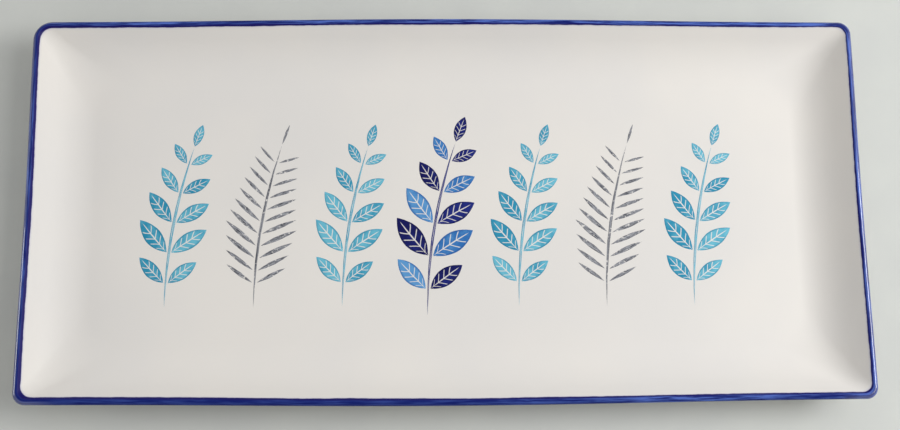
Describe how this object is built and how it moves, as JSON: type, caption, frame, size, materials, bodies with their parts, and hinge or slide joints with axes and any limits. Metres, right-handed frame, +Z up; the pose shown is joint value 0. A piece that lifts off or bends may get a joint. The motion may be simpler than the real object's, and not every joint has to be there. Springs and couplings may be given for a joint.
{
  "type": "rectangular serving tray",
  "caption": "Low rectangular glazed stoneware serving tray with swept-up walls, a rounded cobalt lip, a flat well painted with leaf sprigs and a ground foot ring.",
  "frame": {"origin": "middle of the tray's outline, on the table under the foot ring", "axes": "+X along the tray's length, +Y across its width away from the near side, +Z up"},
  "size_m": [0.36, 0.17, 0.02],
  "materials": {
    "bare_clay": "fired and rubbed, matt",
    "white_glaze": "smooth warm white glaze with a soft sheen",
    "cobalt_glaze": "brushed cobalt under clear gloss",
    "turquoise_paint": "painted under the glaze, with a soft sheen",
    "navy_paint": "painted under the glaze, with a soft sheen",
    "blue_paint": "painted under the glaze, with a soft sheen",
    "grey_paint": "dry-brushed under the glaze, with a soft sheen"
  },
  "bodies": {
    "root": {"clay_body": "bare_clay", "face_glaze": "white_glaze", "lip_band": "cobalt_glaze", "wall_glaze": "white_glaze", "base_glaze": "white_glaze", "turquoise_leaf_print": "turquoise_paint", "navy_leaf_print": "navy_paint", "blue_leaf_print": "blue_paint", "grey_brush_print": "grey_paint"}
  },
  "joints": []
}
